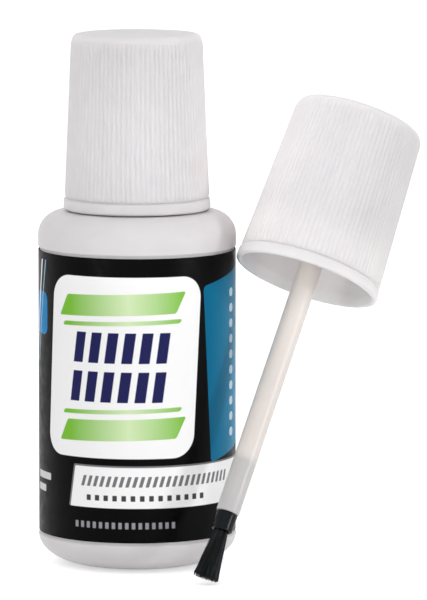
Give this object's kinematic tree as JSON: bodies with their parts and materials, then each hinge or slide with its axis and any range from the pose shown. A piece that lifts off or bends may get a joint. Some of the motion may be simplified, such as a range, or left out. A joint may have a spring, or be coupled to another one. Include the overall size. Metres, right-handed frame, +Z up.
{
  "type": "correction fluid bottle",
  "caption": "Round white plastic bottle with a wrap label and a ribbed screw cap that carries a brush, beside a second brush cap that stands open.",
  "frame": {"origin": "middle of the bottle's base, on the plane it stands on", "axes": "+Z up along the bottle's axis; the front of the label faces -Y; the loose brush cap stands on the +X side"},
  "size_m": [0.0541, 0.0356, 0.0751],
  "materials": {
    "bottle": "smooth satin moulded polyethylene",
    "label": "printed plastic film, semi-gloss",
    "wiper": "soft natural polyethylene",
    "fluid": "wet opaque white",
    "ball": "polished steel",
    "cap": "satin moulded polypropylene, finely ribbed",
    "closure": "smooth moulded polypropylene",
    "liner": "soft closed-cell foam",
    "stem": "translucent natural polypropylene",
    "collar": "smooth black nylon",
    "staple": "flat drawn wire",
    "bristle": "black nylon filaments"
  },
  "bodies": {
    "bottle": {"bottle_body": "bottle", "wrap_label": "label", "neck_wiper": "wiper", "correction_fluid": "fluid"},
    "ball_1": {"mixing_ball_1": "ball"},
    "ball_2": {"mixing_ball_2": "ball"},
    "liner": {"sealing_liner": "liner"},
    "stem_set": {"brush_stem": "stem", "tuft_collar": "collar", "tuft_staple": "staple", "bristles": "bristle"},
    "cap": {"overcap": "cap", "screw_closure": "closure"},
    "loose_applicator": {"loose_overcap": "cap", "loose_screw_closure": "closure", "loose_sealing_liner": "liner", "loose_brush_stem": "stem", "loose_tuft_collar": "collar", "loose_tuft_staple": "staple", "loose_bristles": "bristle"}
  },
  "joints": [
    {"name": "applicator_lift", "type": "slide", "parent": "bottle", "child": "liner", "axis": [0, 0, 1], "range_m": [0, 0.062], "deforming": ["correction_fluid"]},
    {"name": "thread_rise", "type": "slide", "parent": "liner", "child": "stem_set", "axis": [0, 0, 1], "range_m": [0, 0.0042], "deforming": ["correction_fluid"]},
    {"name": "cap_turn", "type": "hinge", "parent": "stem_set", "child": "cap", "pos_m": [0, 0, 0.0503], "axis": [0, 0, 1], "range_deg": [0, 720]},
    {"name": "ball_1_rattle", "type": "slide", "parent": "bottle", "child": "ball_1", "axis": [0, 0, 1], "range_m": [0, 0.0425], "deforming": ["correction_fluid"]},
    {"name": "ball_2_rattle", "type": "slide", "parent": "bottle", "child": "ball_2", "axis": [0, 0, 1], "range_m": [0, 0.0425], "deforming": ["correction_fluid"]},
    {"name": "loose_draw", "type": "slide", "parent": "bottle", "child": "loose_applicator", "axis": [0.3137, 0.342, 0.8858], "range_m": [0, 0.06]}
  ],
  "couplings": [
    {"joint": "cap_turn", "follows": "thread_rise", "rad_per_m": 2992}
  ]
}
